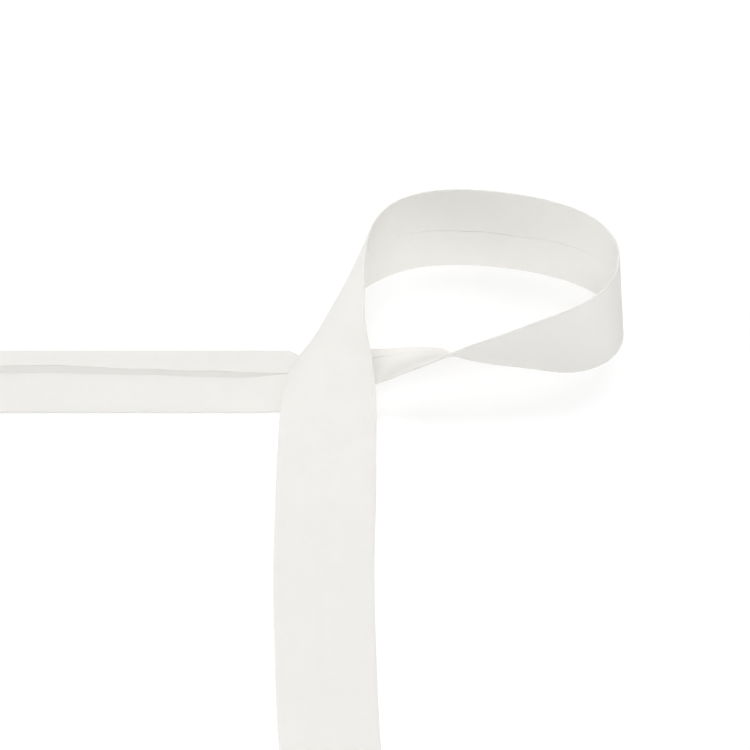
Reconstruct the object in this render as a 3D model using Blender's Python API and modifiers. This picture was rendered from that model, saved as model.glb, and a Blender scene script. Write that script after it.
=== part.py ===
"""A length of folded bias tape, lying on a surface in one loop that crosses itself.

The tape is one strip of cotton cut on the bias, with both long edges folded in over its middle. It comes in
flat from the left, hems up, rises on its lower edge, stands round the loop, leans over again and runs out
flat towards the front with its hems underneath, across its own start. The ends are plain straight cuts.
"""

import math
from collections import namedtuple

import bmesh
import bpy
import numpy as np

# Sizes of the tape, in millimetres. Its folded section is a base with a hem folded over from each edge.
WIDTH = 20.0
LAYER = 0.5
GAP = 0.3
THICKNESS = 2 * LAYER + GAP
FOLD_RADIUS = (LAYER + GAP) / 2
FOLD_CENTRE = WIDTH / 2 - FOLD_RADIUS - LAYER / 2
FACET_RISE = 0.03

# The tape's middle line, in millimetres from the spot where it crosses itself, in order along the tape.
# lean turns the section about that line: 0 lies flat with its hems up, 90 stands on its foot edge, and 180
# lies flat with its hems down. The hems are the widths folded over from the foot edge and the top edge.
Section = namedtuple("Section", "x y z lean foot_hem top_hem")
SECTIONS = [
    Section(-84.0, -2.6, 0.5, 0, 4.1, 13.0),
    Section(-55.0, -2.6, 0.5, 0, 5.1, 12.7),
    Section(-30.0, -2.6, 0.5, 0, 6.4, 11.8),
    Section(-17.0, -2.6, 0.6, 0, 7.2, 12.2),
    Section(-8.0, -2.3, 1.8, 7, 6.9, 12.6),
    Section(0.0, -1.7, 3.5, 16, 6.3, 13.2),
    Section(8.0, -1.5, 5.1, 26, 6.0, 13.5),
    Section(15.0, -2.0, 6.7, 37, 6.2, 13.3),
    Section(23.0, -2.7, 8.2, 51, 6.8, 12.7),
    Section(31.0, -2.7, 9.2, 64, 7.5, 12.0),
    Section(38.0, -1.8, 9.8, 75, 8.1, 11.4),
    Section(43.3, 0.8, 10.0, 83, 8.5, 11.0),
    Section(47.2, 5.0, 10.0, 88, 8.8, 10.7),
    Section(49.3, 11.5, 10.0, 92, 9.0, 10.5),
    Section(48.4, 18.0, 10.0, 93, 9.1, 10.4),
    Section(43.4, 26.0, 10.0, 92, 9.2, 10.3),
    Section(35.0, 31.3, 10.0, 92, 9.2, 10.3),
    Section(26.0, 34.2, 10.0, 93, 9.3, 10.2),
    Section(17.0, 35.3, 10.0, 93, 9.3, 10.2),
    Section(9.0, 34.3, 10.0, 94, 9.4, 10.1),
    Section(2.7, 31.2, 10.0, 96, 9.5, 10.0),
    Section(-1.8, 26.6, 10.0, 101, 9.6, 9.9),
    Section(-4.8, 20.8, 9.9, 109, 9.7, 9.8),
    Section(-6.6, 14.0, 9.7, 119, 9.8, 9.7),
    Section(-8.2, 6.0, 9.4, 130, 9.9, 9.6),
    Section(-9.2, -1.0, 8.3, 140, 9.9, 9.5),
    Section(-9.4, -9.0, 6.5, 154, 9.9, 9.4),
    Section(-9.4, -17.0, 4.4, 164, 9.9, 9.4),
    Section(-9.6, -27.0, 2.3, 171, 9.8, 9.5),
    Section(-9.8, -42.0, 1.2, 177, 9.8, 9.5),
    Section(-10.1, -60.0, 0.5, 180, 9.7, 9.6),
    Section(-9.8, -86.0, 0.5, 180, 9.7, 9.6),
    Section(-9.1, -112.0, 0.5, 180, 9.6, 9.7),
    Section(-8.2, -132.0, 0.5, 180, 9.6, 9.7),
]

# The middle of the whole tape's box, in millimetres from the crossing. It becomes the origin.
BOX_CENTRE = (-16.8, -48.0)

# Faces between two sections, and across a hem, a fold and the base
STEPS_PER_SPAN = 3
HEM_STEPS = 2
FOLD_STEPS = 4
BASE_STEPS = 3

TAPE_WHITE = (0.82, 0.82, 0.80, 1.0)
TAPE_ROUGHNESS = 0.9


def smooth_slopes(knots, values):
    """Slopes of the smoothest curve through the values, straight at its ends, as a springy tape bends."""
    widths = np.diff(knots)
    rises = np.diff(values) / widths
    system = np.diag(np.ones(len(knots)) * 2.0)
    target = np.empty(len(knots))
    system[0, 1] = system[-1, -2] = 1.0
    target[0], target[-1] = 3 * rises[0], 3 * rises[-1]
    for i in range(1, len(knots) - 1):
        before, after = 1 / widths[i - 1], 1 / widths[i]
        system[i, i - 1 : i + 2] = before, 2 * (before + after), after
        target[i] = 3 * (rises[i - 1] * before + rises[i] * after)
    return np.linalg.solve(system, target)


def steady_slopes(knots, values):
    """Slopes of a curve that never swings past its values, so a level stretch stays level."""
    rises = np.diff(values) / np.diff(knots)
    slopes = np.zeros(len(knots))
    for i, (before, after) in enumerate(zip(rises, rises[1:]), start=1):
        if before * after > 0:
            slopes[i] = 2 * before * after / (before + after)
    return slopes


def along(knots, values, slopes, at):
    """Values at the places given by at, on the curve through the knots with these slopes."""
    span = np.clip(np.searchsorted(knots, at, side="right") - 1, 0, len(knots) - 2)
    width = knots[span + 1] - knots[span]
    t = (at - knots[span]) / width
    start, end = values[span], values[span + 1]
    leave, arrive = slopes[span] * width, slopes[span + 1] * width
    square = 3 * (end - start) - 2 * leave - arrive
    cube = 2 * (start - end) + leave + arrive
    return start + t * (leave + t * (square + t * cube))


def tape_stations():
    """Middle points, the unit vectors across the tape and out of its hem side, and hem widths, one row each."""
    table = np.array(SECTIONS, float)
    knots = np.concatenate([[0.0], np.cumsum(np.linalg.norm(np.diff(table[:, :3], axis=0), axis=1))])
    steps = np.linspace(0, len(knots) - 1, STEPS_PER_SPAN * (len(knots) - 1) + 1)
    at = np.interp(steps, range(len(knots)), knots)
    x, y = (along(knots, table[:, i], smooth_slopes(knots, table[:, i]), at) for i in (0, 1))
    z, lean, foot_hem, top_hem = (
        along(knots, table[:, i], steady_slopes(knots, table[:, i]), at) for i in (2, 3, 4, 5)
    )
    lean = np.radians(lean)
    # The lower edge rests on the surface wherever the table would take it lower. Its round fold has corners,
    # which stand a little proud of the round.
    z = np.maximum(z, THICKNESS / 2 + (FOLD_CENTRE + FACET_RISE) * np.sin(lean))
    middle = np.column_stack([x, y, z])
    onward = np.gradient(middle, at, axis=0)
    onward /= np.linalg.norm(onward, axis=1)[:, None]
    level = np.cross(onward, (0.0, 0.0, 1.0))
    level /= np.linalg.norm(level, axis=1)[:, None]
    across = np.cos(lean)[:, None] * level + np.sin(lean)[:, None] * np.cross(level, onward)
    return middle, across, np.cross(across, onward), foot_hem, top_hem


def folded_section(foot_hem, top_hem):
    """Points round the middle of the cloth, from the foot hem's cut edge to the top hem's, as (across, out)."""
    points = [(u, FOLD_RADIUS) for u in np.linspace(foot_hem - WIDTH / 2, -FOLD_CENTRE, HEM_STEPS + 1)]
    for step in range(1, FOLD_STEPS + 1):
        turn = math.pi * step / FOLD_STEPS
        points.append((-FOLD_CENTRE - FOLD_RADIUS * math.sin(turn), FOLD_RADIUS * math.cos(turn)))
    points += [(u, -FOLD_RADIUS) for u in np.linspace(-FOLD_CENTRE, FOLD_CENTRE, BASE_STEPS + 1)[1:]]
    for step in range(1, FOLD_STEPS + 1):
        turn = math.pi * step / FOLD_STEPS
        points.append((FOLD_CENTRE + FOLD_RADIUS * math.sin(turn), -FOLD_RADIUS * math.cos(turn)))
    points += [(u, FOLD_RADIUS) for u in np.linspace(FOLD_CENTRE, WIDTH / 2 - top_hem, HEM_STEPS + 1)[1:]]
    return np.array(points)


def cotton():
    """Plain white cotton."""
    material = bpy.data.materials.new("white_cotton")
    material.use_nodes = True
    shader = material.node_tree.nodes["Principled BSDF"]
    shader.inputs["Base Color"].default_value = TAPE_WHITE
    shader.inputs["Roughness"].default_value = TAPE_ROUGHNESS
    shader.inputs["Metallic"].default_value = 0.0
    return material


def bias_tape(collection):
    """The strip as a flat grid laid onto its folded sections, then given the cloth's thickness."""
    middle, across, out, foot_hem, top_hem = tape_stations()
    sections = [folded_section(foot, top) for foot, top in zip(foot_hem, top_hem)]
    columns, rows = len(sections[0]) - 1, len(sections) - 1

    sheet = bmesh.new()
    bmesh.ops.create_grid(sheet, x_segments=columns, y_segments=rows, size=1.0)
    for vertex in sheet.verts:
        column = round((vertex.co.x + 1) / 2 * columns)
        row = round((vertex.co.y + 1) / 2 * rows)
        u, v = sections[row][column]
        vertex.co = (middle[row] + u * across[row] + v * out[row]) / 1000
    mesh = bpy.data.meshes.new("bias_tape")
    sheet.to_mesh(mesh)
    sheet.free()
    mesh.materials.append(cotton())
    mesh.shade_smooth()

    tape = bpy.data.objects.new("bias_tape", mesh)
    tape.location = (-BOX_CENTRE[0] / 1000, -BOX_CENTRE[1] / 1000, 0.0)
    collection.objects.link(tape)
    cloth = tape.modifiers.new("cloth", "SOLIDIFY")
    cloth.thickness = LAYER / 1000
    cloth.offset = 0.0
    cloth.use_even_offset = True


for leftover in list(bpy.data.objects):
    bpy.data.objects.remove(leftover)
looped_tape = bpy.data.collections.new("looped_bias_tape")
bpy.context.scene.collection.children.link(looped_tape)
bias_tape(looped_tape)
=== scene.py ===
import math
from collections import namedtuple

import bpy
import numpy as np
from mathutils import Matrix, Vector


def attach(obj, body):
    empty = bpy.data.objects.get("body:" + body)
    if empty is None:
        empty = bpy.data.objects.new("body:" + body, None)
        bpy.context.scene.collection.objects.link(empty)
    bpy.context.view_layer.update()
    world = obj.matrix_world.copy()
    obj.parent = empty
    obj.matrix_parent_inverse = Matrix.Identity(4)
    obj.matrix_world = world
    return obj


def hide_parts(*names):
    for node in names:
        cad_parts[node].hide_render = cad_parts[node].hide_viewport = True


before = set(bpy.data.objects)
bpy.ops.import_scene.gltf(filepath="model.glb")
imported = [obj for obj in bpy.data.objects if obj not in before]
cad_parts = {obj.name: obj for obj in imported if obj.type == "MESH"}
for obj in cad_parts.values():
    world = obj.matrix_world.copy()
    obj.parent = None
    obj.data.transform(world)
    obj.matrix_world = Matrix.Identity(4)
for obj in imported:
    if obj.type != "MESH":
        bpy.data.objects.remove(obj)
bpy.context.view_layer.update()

# The tape. One strip of light white cotton, cut on the bias and pressed so that both long edges fold in over
# the middle. It lies flat with its hems up, rises on its foot edge, stands round the loop, leans over and
# runs out flat with its plain side up, over its own start. Both ends are plain straight cuts.

# Sizes in millimetres. The cloth's layers all but touch, and its folds are pressed sharp. The lift keeps the
# uneven underside off the floor.
WIDTH = 20.0
CLOTH = 0.2
FOLD_RADIUS = 0.12
FOLD_CENTRE = WIDTH / 2 - FOLD_RADIUS - CLOTH / 2
LIFT = 0.1

# The tape's section at each place along it. x, y and z are its middle line in millimetres from the crossing,
# and lean is its turn about that line in degrees: 0 is flat with hems up, 90 on the foot edge, and 180 flat
# with hems down. The seam is where the hems meet, from the foot edge, and the gap is what they leave open
# there. Each hem stands off the base by its bow, and the tape's middle stands out to the plain side by the
# arch. The draw moves the foot edge sideways, in towards the middle, or outwards where it is below 0.
CROSSING = (16.8, 48.0)
Section = namedtuple("Section", "x y z lean seam gap foot_bow top_bow arch draw")
SECTIONS = [
    Section(-84.0, -2.65, 0.35, 0, 6.45, 3.70, 0.00, 1.00, 0.0, 0.0),
    Section(-75.0, -2.65, 0.35, 0, 6.5, 3.60, 0.00, 1.00, 0.0, 0.0),
    Section(-63.0, -2.65, 0.35, 0, 6.55, 3.40, 0.00, 0.95, 0.0, 0.0),
    Section(-51.0, -2.65, 0.35, 0, 7.1, 2.90, 0.00, 0.90, 0.0, 0.0),
    Section(-39.0, -2.65, 0.35, 0, 7.65, 2.70, 0.00, 0.85, 0.0, 0.0),
    Section(-33.0, -2.65, 0.35, 0, 8.05, 2.90, 0.00, 0.80, 0.0, 0.0),
    Section(-27.0, -2.7, 0.4, 0, 8.15, 2.50, 0.00, 0.65, 0.0, 0.0),
    Section(-21.0, -2.8, 0.5, 0.5, 7.9, 1.25, 0.00, 0.35, 0.0, 0.0),
    Section(-18.0, -2.75, 0.6, 1, 7.75, 0.45, 0.00, 0.12, 0.0, 0.05),
    Section(-16.6, -2.7, 0.7, 1.5, 7.6, 0.10, 0.00, 0.05, 0.0, 0.25),
    Section(-15.0, -2.65, 0.8, 2.5, 7.2, 0.05, 0.00, 0.05, 0.0, 1.6),
    Section(-8.0, -2.3, 1.75, 8, 6.4, 0.05, 0.00, 0.05, 0.0, 0.8),
    Section(0.0, -1.8, 3.4, 18.2, 5.2, 0.10, 0.12, 0.05, 0.0, -0.25),
    Section(3.0, -1.8, 4.0, 22, 4.6, 0.08, 0.10, 0.05, 0.0, -0.65),
    Section(5.1, -1.8, 4.45, 25, 4.2, 0.05, 0.05, 0.05, 0.0, -1.2),
    Section(7.6, -1.8, 4.95, 28.2, 3.9, 0.04, 0.03, 0.05, 0.0, -1.75),
    Section(11.0, -1.8, 5.6, 32.6, 3.7, 0.03, 0.00, 0.05, 0.0, -2.05),
    Section(13.2, -1.8, 6.0, 35.5, 3.8, 0.03, 0.00, 0.05, 0.0, -2.0),
    Section(14.6, -1.85, 6.25, 37.3, 3.9, 0.03, 0.00, 0.05, 0.0, -0.95),
    Section(15.9, -1.95, 6.55, 39.5, 4.0, 0.03, 0.00, 0.05, 0.0, -0.15),
    Section(18.6, -2.15, 7.15, 44.5, 4.4, 0.03, 0.00, 0.05, 0.0, 0.2),
    Section(23.0, -2.4, 7.95, 51.3, 5.2, 0.03, 0.00, 0.05, 0.0, 0.3),
    Section(31.0, -2.3, 9.1, 64, 6.8, 0.03, 0.00, 0.05, 0.0, 0.0),
    Section(38.0, -1.6, 9.8, 76, 8.2, 0.03, 0.00, 0.05, 0.0, 0.0),
    Section(43.3, 0.8, 10.0, 84, 8.9, 0.03, 0.00, 0.05, 0.0, 0.0),
    Section(47.1, 5.0, 10.0, 89.5, 9.4, 0.03, 0.00, 0.05, 0.0, 0.0),
    Section(49.1, 11.5, 10.0, 92.5, 9.9, 0.01, 0.05, 0.05, 0.0, 0.0),
    Section(48.5, 18.1, 10.0, 92.5, 10.1, 0.01, 0.05, 0.05, 0.0, 0.0),
    Section(43.7, 26.3, 10.0, 93, 10.2, 0.03, 0.10, 0.10, -0.2, 0.0),
    Section(35.1, 31.7, 10.0, 93, 10.0, 0.05, 0.15, 0.15, -0.5, 0.0),
    Section(26.0, 34.4, 10.0, 93, 9.6, 0.07, 0.15, 0.15, -0.55, 0.0),
    Section(17.0, 35.4, 10.0, 93, 9.65, 0.08, 0.15, 0.15, -0.55, 0.0),
    Section(9.0, 34.4, 10.0, 94, 10.05, 0.05, 0.10, 0.10, -0.45, 0.0),
    Section(2.9, 31.2, 10.0, 96, 10.2, 0.01, 0.05, 0.05, -0.1, 0.0),
    Section(-1.25, 26.5, 10.0, 100.5, 10.0, 0.01, 0.00, 0.05, 0.0, 0.0),
    Section(-4.2, 20.7, 9.8, 107.6, 10.0, 0.01, 0.00, 0.05, 0.3, 0.0),
    Section(-6.3, 14.0, 9.4, 115.8, 10.0, 0.02, 0.00, 0.05, 0.6, 0.0),
    Section(-8.0, 6.0, 8.7, 127.3, 10.0, 0.04, 0.00, 0.05, 0.8, 0.0),
    Section(-9.45, -1.0, 7.4, 139.8, 10.0, 0.04, 0.00, 0.05, 0.9, 0.0),
    Section(-9.5, -9.0, 5.8, 155, 10.0, 0.04, 0.00, 0.05, 0.8, 0.0),
    Section(-9.4, -17.0, 3.9, 165, 10.0, 0.04, 0.00, 0.05, 0.6, 0.0),
    Section(-9.6, -27.0, 2.1, 171, 10.0, 0.06, 0.00, 0.05, 0.4, 0.0),
    Section(-9.8, -42.0, 0.9, 177, 9.9, 0.10, 0.00, 0.05, 0.3, 0.0),
    Section(-10.1, -60.0, 0.2, 180, 9.8, 0.15, 0.00, 0.05, 0.25, 0.0),
    Section(-9.8, -86.0, 0.2, 180, 9.9, 0.20, 0.00, 0.05, 0.25, 0.0),
    Section(-9.1, -112.0, 0.2, 180, 9.7, 0.25, 0.00, 0.05, 0.25, 0.0),
    Section(-8.2, -132.0, 0.2, 180, 9.7, 0.25, 0.00, 0.05, 0.25, 0.0),
]

# The seam wanders a little and the cloth is never quite even. Each wave has a size, a length along the tape,
# a slant across it and a start.
Wave = namedtuple("Wave", "size length slant start")
SEAM_WAVES = [Wave(0.05, 31.0, 0.0, 0.4), Wave(0.03, 11.3, 0.0, 2.0)]
CLOTH_WAVES = [Wave(0.05, 17.0, 0.9, 0.6), Wave(0.04, 11.0, -1.6, 2.9), Wave(0.03, 26.0, 2.3, 4.4)]

# The mesh has this many steps along the tape, and across each hem, each fold and the base.
ROWS = 480
HEM_COLUMNS = 18
FOLD_COLUMNS = 6
BASE_COLUMNS = 30


def smooth_slopes(knots, values):
    """Slopes of the smoothest curve through the values, straight at its ends, as springy cloth bends."""
    widths = np.diff(knots)
    rises = np.diff(values) / widths
    system = np.diag(np.ones(len(knots)) * 2.0)
    target = np.empty(len(knots))
    system[0, 1] = system[-1, -2] = 1.0
    target[0], target[-1] = 3 * rises[0], 3 * rises[-1]
    for i in range(1, len(knots) - 1):
        before, after = 1 / widths[i - 1], 1 / widths[i]
        system[i, i - 1 : i + 2] = before, 2 * (before + after), after
        target[i] = 3 * (rises[i - 1] * before + rises[i] * after)
    return np.linalg.solve(system, target)


def steady_slopes(knots, values):
    """Slopes of a curve that never swings past its values, so a level stretch stays level."""
    rises = np.diff(values) / np.diff(knots)
    slopes = np.zeros(len(knots))
    for i, (before, after) in enumerate(zip(rises, rises[1:]), start=1):
        if before * after > 0:
            slopes[i] = 2 * before * after / (before + after)
    return slopes


def along(knots, values, slopes, at):
    """Values at the places given by at, on the curve through the knots with these slopes."""
    span = np.clip(np.searchsorted(knots, at, side="right") - 1, 0, len(knots) - 2)
    width = knots[span + 1] - knots[span]
    t = (at - knots[span]) / width
    start, end = values[span], values[span + 1]
    leave, arrive = slopes[span] * width, slopes[span + 1] * width
    square = 3 * (end - start) - 2 * leave - arrive
    cube = 2 * (start - end) + leave + arrive
    return start + t * (leave + t * (square + t * cube))


def unit(vectors):
    """The same directions, each with a length of one."""
    return vectors / np.linalg.norm(vectors, axis=1)[:, None]


def waver(waves, at, share=0.0):
    """The sum of the waves at these places along the tape and these shares of the way across it."""
    return sum(
        wave.size * np.sin(2 * math.pi * at / wave.length + wave.slant * share + wave.start)
        for wave in waves
    )


# Along the tape: the middle line, kept high enough for the foot edge to clear the floor, and each row's
# directions: onward, level, across from the foot edge to the top edge, and out on the hems' side.
table = np.array(SECTIONS, float)
steps = np.linalg.norm(np.diff(table[:, :3], axis=0), axis=1)
knots = np.concatenate([[0.0], np.cumsum(steps)])
run = np.linspace(0, knots[-1], ROWS + 1)
x, y = (along(knots, values, smooth_slopes(knots, values), run) for values in table.T[:2])
z, lean, seam, gap, foot_bow, top_bow, arch, draw = (
    along(knots, values, steady_slopes(knots, values), run) for values in table.T[2:]
)
lean = np.radians(lean)
lowest = LIFT + CLOTH / 2 + FOLD_RADIUS + FOLD_CENTRE * np.sin(lean)
middle = np.column_stack([x, y, np.maximum(z, lowest)])
UP = np.array([0.0, 0.0, 1.0])
onward = unit(np.gradient(middle, run, axis=0))
level = unit(np.cross(onward, UP))
across = np.cos(lean)[:, None] * level + np.sin(lean)[:, None] * UP
out = unit(np.cross(across, onward))

# Across the tape: each row is a folded section, from the foot hem's cut edge to the top hem's. Each point has
# a place across, a place out of the base, and a place on the flat cut cloth.
seam += waver(SEAM_WAVES, run)
foot_hem = seam - gap / 2
top_hem = WIDTH - seam - gap / 2
hem_share = np.linspace(1, 0, HEM_COLUMNS + 1)
turn = np.linspace(0, math.pi, FOLD_COLUMNS + 1)[1:]
base = np.linspace(-FOLD_CENTRE, FOLD_CENTRE, BASE_COLUMNS + 1)[1:]

# A hem with a bow is highest three quarters of the way from its fold to its cut edge, and drops by a quarter
# of the bow from there. Its last threads are pressed down on to the base.
BOW_TOP = 0.75
BOW_DROP = 0.25
SETTLE, SETTLE_POWER = 0.09, 8
bow_shape = np.where(
    hem_share < BOW_TOP,
    np.sin(math.pi / 2 * hem_share / BOW_TOP) ** 2,
    1 - BOW_DROP * ((hem_share - BOW_TOP) / (1 - BOW_TOP)) ** 2,
)


def hem(width, bow):
    """A hem's reach from its fold and its rise off the base, from its cut edge to its fold, in every row."""
    reach = (width - FOLD_RADIUS - CLOTH / 2)[:, None] * hem_share
    rise = FOLD_RADIUS + bow[:, None] * bow_shape - SETTLE * hem_share**SETTLE_POWER
    return reach, rise


def every_row(values):
    """The same values in every row."""
    return np.tile(values, (ROWS + 1, 1))


foot_reach, foot_rise = hem(foot_hem, foot_bow)
top_reach, top_rise = hem(top_hem, top_bow)
place_across = np.hstack([
    foot_reach - FOLD_CENTRE,
    every_row(-FOLD_CENTRE - FOLD_RADIUS * np.sin(turn)),
    every_row(base),
    every_row(FOLD_CENTRE + FOLD_RADIUS * np.sin(turn)),
    (FOLD_CENTRE - top_reach)[:, ::-1][:, 1:],
])
place_out = np.hstack([
    foot_rise,
    every_row(FOLD_RADIUS * np.cos(turn)),
    every_row(np.full(len(base), -FOLD_RADIUS)),
    every_row(-FOLD_RADIUS * np.cos(turn)),
    top_rise[:, ::-1][:, 1:],
])
half_cut = FOLD_CENTRE + math.pi * FOLD_RADIUS
place_cut = np.hstack([
    -half_cut - foot_reach,
    every_row(-half_cut + FOLD_RADIUS * turn),
    every_row(base),
    every_row(FOLD_CENTRE + FOLD_RADIUS * turn),
    (half_cut + top_reach)[:, ::-1][:, 1:],
])

# Pressing leaves the plain side a little hollow along the seam. The arch and the cloth's waves fade out
# towards both edges, and the draw towards the middle.
HOLLOW, HOLLOW_REACH = 0.12, 0.7
share = place_across / (WIDTH / 2)
from_seam = place_across - (seam - WIDTH / 2)[:, None]
place_out = place_out + HOLLOW * np.exp(-((from_seam / HOLLOW_REACH) ** 2))
place_out = place_out + (waver(CLOTH_WAVES, run[:, None], share) - arch[:, None]) * (1 - share**2)
place_level = draw[:, None] * np.clip(-share, 0, 1) ** 2
points = (
    middle[:, None, :]
    + place_across[:, :, None] * across[:, None, :]
    + place_out[:, :, None] * out[:, None, :]
    + place_level[:, :, None] * level[:, None, :]
    + np.array([CROSSING[0], CROSSING[1], 0.0])
) / 1000

# A flat grid is folded into the strip. Its own map is the flat cut cloth in metres, which the weave follows.
columns = place_across.shape[1] - 1
bpy.ops.object.select_all(action="DESELECT")
bpy.ops.mesh.primitive_grid_add(x_subdivisions=columns, y_subdivisions=ROWS, size=2)
tape = bpy.context.active_object
tape.name = tape.data.name = "tape"
flat = np.array([vertex.co for vertex in tape.data.vertices])
column = np.rint((flat[:, 0] + 1) / 2 * columns).astype(int)
row = np.rint((flat[:, 1] + 1) / 2 * ROWS).astype(int)
tape.data.vertices.foreach_set("co", points[row, column].astype(np.float32).ravel())
corner = np.empty(len(tape.data.loops), int)
tape.data.loops.foreach_get("vertex_index", corner)
cut_place = np.column_stack([place_cut[row, column], run[row]])[corner] / 1000
tape.data.uv_layers.active.data.foreach_set("uv", cut_place.astype(np.float32).ravel())
tape.data.update()

# Pressing thins the cloth at its two long cut edges. These are the shares of its thickness that are left in
# the last three columns, counted from the edge.
THINNED = {0: 0.4, 1: 0.7, 2: 0.9}
fullness = tape.vertex_groups.new(name="fullness")
for i, from_edge in enumerate(np.minimum(column, columns - column)):
    fullness.add([i], THINNED.get(int(from_edge), 1.0), "REPLACE")

# The cotton's threads are 0.4 mm apart and run at 45 degrees to the tape, as on all cloth cut on the bias.
# The white varies a little, in soft patches a centimetre or so across, between a duller and a cleaner one.
THREAD = 0.0004
BIAS = math.radians(45)
PATCHES = 90
DULLER, CLEANER, WHITEST = 0.975, 1.02, 0.95
RIGHT_SIDE_WHITE = (0.86, 0.848, 0.818)
# The wrong side's duller white is painted shade for the gap between the hems, where shade falls.
WRONG_SIDE_PAINTED_SHADE_WHITE = (0.76, 0.75, 0.722)


def cotton(name, colour):
    """Matt cotton in a plain weave, on the map of the flat cut cloth."""
    material = bpy.data.materials.new(name)
    material.use_nodes = True
    nodes, links = material.node_tree.nodes, material.node_tree.links
    shader = nodes["Principled BSDF"]
    shader.inputs["Roughness"].default_value = 0.88
    shader.inputs["Specular IOR Level"].default_value = 0.25
    shader.inputs["Sheen Weight"].default_value = 0.15
    shader.inputs["Sheen Roughness"].default_value = 0.5

    uv = nodes.new("ShaderNodeUVMap")
    bias = nodes.new("ShaderNodeMapping")
    bias.inputs["Rotation"].default_value = (0, 0, BIAS)
    bias.inputs["Scale"].default_value = (math.pi / THREAD, math.pi / THREAD, 1)
    links.new(uv.outputs["UV"], bias.inputs["Vector"])

    # Threads wander a little, so that the weave isn't a perfect grid.
    wander = nodes.new("ShaderNodeTexNoise")
    wander.inputs["Scale"].default_value = 0.25
    wander.inputs["Detail"].default_value = 2
    links.new(bias.outputs["Vector"], wander.inputs["Vector"])
    shift = nodes.new("ShaderNodeVectorMath")
    shift.operation = "MULTIPLY_ADD"
    shift.inputs[1].default_value = (1.2, 1.2, 0)
    links.new(wander.outputs["Color"], shift.inputs[0])
    links.new(bias.outputs["Vector"], shift.inputs[2])

    # One pillow stands up wherever two threads cross: the square of a sine each way.
    parts = nodes.new("ShaderNodeSeparateXYZ")
    links.new(shift.outputs["Vector"], parts.inputs["Vector"])
    waves = []
    for axis in "XY":
        wave = nodes.new("ShaderNodeMath")
        wave.operation = "SINE"
        links.new(parts.outputs[axis], wave.inputs[0])
        waves.append(wave)
    over = nodes.new("ShaderNodeMath")
    over.operation = "MULTIPLY"
    links.new(waves[0].outputs[0], over.inputs[0])
    links.new(waves[1].outputs[0], over.inputs[1])
    pillow = nodes.new("ShaderNodeMath")
    pillow.operation = "MULTIPLY"
    links.new(over.outputs[0], pillow.inputs[0])
    links.new(over.outputs[0], pillow.inputs[1])
    bump = nodes.new("ShaderNodeBump")
    bump.inputs["Strength"].default_value = 0.35
    bump.inputs["Distance"].default_value = 0.00008
    links.new(pillow.outputs[0], bump.inputs["Height"])
    links.new(bump.outputs["Normal"], shader.inputs["Normal"])

    mottle = nodes.new("ShaderNodeTexNoise")
    mottle.inputs["Scale"].default_value = PATCHES
    mottle.inputs["Detail"].default_value = 4
    links.new(uv.outputs["UV"], mottle.inputs["Vector"])
    shade = nodes.new("ShaderNodeMix")
    shade.data_type = "RGBA"
    shade.inputs["A"].default_value = (*[part * DULLER for part in colour], 1)
    shade.inputs["B"].default_value = (*[min(part * CLEANER, WHITEST) for part in colour], 1)
    links.new(mottle.outputs["Fac"], shade.inputs["Factor"])
    links.new(shade.outputs["Result"], shader.inputs["Base Color"])
    return material


# The sheet gets its thickness. Its wrong side is inside the folds and shows only in the gap between the hems.
# Its duller white there is painted shade, standing in for the shadow that falls into that gap. Its right side
# and its cut edges take the second material.
tape.data.materials.append(cotton("white_cotton_wrong_side_painted_shade", WRONG_SIDE_PAINTED_SHADE_WHITE))
tape.data.materials.append(cotton("white_cotton", RIGHT_SIDE_WHITE))
SHARPEST = math.radians(50)
cloth = tape.modifiers.new("cloth", "SOLIDIFY")
cloth.thickness = CLOTH / 1000
cloth.offset = 0.0
cloth.use_even_offset = True
cloth.vertex_group = fullness.name
cloth.material_offset = cloth.material_offset_rim = 1
bpy.context.view_layer.objects.active = tape
bpy.ops.object.modifier_apply(modifier=cloth.name)
bpy.ops.object.shade_smooth_by_angle(angle=SHARPEST)
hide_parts("bias_tape")
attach(tape, "root")

# The floor. A wide sheet of plain white card that the tape lies on. It is partly lit from within, as a light
# table is, so that it stays evenly white and takes only faint shadows.
FLOOR_SIZE = 30
CARD_TONE, CARD_GLOW = 0.45, 0.605
bpy.ops.object.select_all(action="DESELECT")
bpy.ops.mesh.primitive_plane_add(size=FLOOR_SIZE)
floor = bpy.context.active_object
floor.name = "floor"
card = bpy.data.materials.new("white_card")
card.use_nodes = True
card_shader = card.node_tree.nodes["Principled BSDF"]
card_shader.inputs["Base Color"].default_value = (CARD_TONE, CARD_TONE, CARD_TONE, 1)
card_shader.inputs["Roughness"].default_value = 1.0
card_shader.inputs["Specular IOR Level"].default_value = 0.0
card_shader.inputs["Emission Color"].default_value = (1, 1, 1, 1)
card_shader.inputs["Emission Strength"].default_value = CARD_GLOW
floor.data.materials.append(card)

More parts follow.
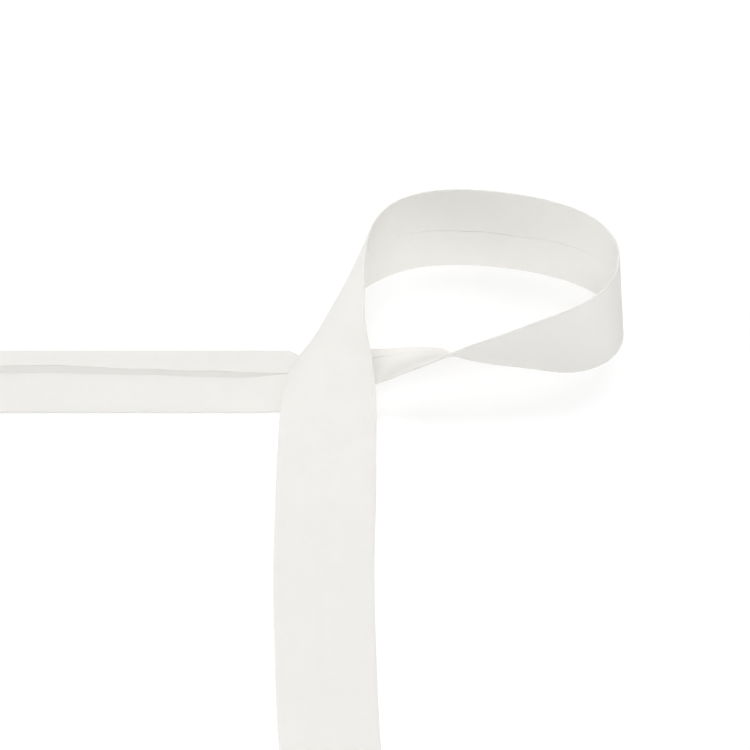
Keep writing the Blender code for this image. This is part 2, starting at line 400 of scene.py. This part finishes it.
# The light. Four square softboxes stand round the tape, all at one distance and turned towards it, with the
# back one highest and the left one lowest. The room itself gives hardly any light. Sizes are in metres here,
# and angles in degrees.
ROOM_LIGHT = 0.05
BOX_SIZE, BOX_DISTANCE = 0.7, 1.15
Softbox = namedtuple("Softbox", "name azimuth elevation watts")
SOFTBOXES = [
    Softbox("front_softbox", 270, 45, 6.6),
    Softbox("back_softbox", 90, 57, 7.2),
    Softbox("left_softbox", 180, 18, 5.3),
    Softbox("right_softbox", 0, 30, 3.6),
]
world = bpy.data.worlds.new("studio")
bpy.context.scene.world = world
world.use_nodes = True
world.node_tree.nodes["Background"].inputs["Color"].default_value = (1, 1, 1, 1)
world.node_tree.nodes["Background"].inputs["Strength"].default_value = ROOM_LIGHT
for box in SOFTBOXES:
    light = bpy.data.objects.new(box.name, bpy.data.lights.new(box.name, "AREA"))
    light.data.size = BOX_SIZE
    light.data.energy = box.watts
    turned, raised = math.radians(box.azimuth), math.radians(box.elevation)
    light.location = BOX_DISTANCE * Vector(
        (math.cos(raised) * math.cos(turned), math.cos(raised) * math.sin(turned), math.sin(raised))
    )
    light.rotation_euler = (-light.location).to_track_quat("-Z", "Y").to_euler()
    light.visible_camera = False
    bpy.context.scene.collection.objects.link(light)

# The camera. It looks along +Y at the crossing from 38 degrees up, and from so far off that nothing narrows
# with distance, as in the picture. A fifth of a millimetre is one pixel.
ELEVATION = math.radians(38)
SEEN_WIDTH = 0.150
LENS, SENSOR = 1000.0, 36.0
FARTHEST_SEEN = 50
camera = bpy.data.objects.new("camera", bpy.data.cameras.new("camera"))
camera.data.lens, camera.data.sensor_width = LENS, SENSOR
camera.data.clip_end = FARTHEST_SEEN
away = SEEN_WIDTH * LENS / SENSOR
camera.location = Vector((CROSSING[0] / 1000, CROSSING[1] / 1000, 0)) + away * Vector(
    (0, -math.cos(ELEVATION), math.sin(ELEVATION))
)
camera.rotation_euler = (math.pi / 2 - ELEVATION, 0, 0)
bpy.context.scene.collection.objects.link(camera)
bpy.context.scene.camera = camera
bpy.context.scene.view_settings.view_transform = "Standard"
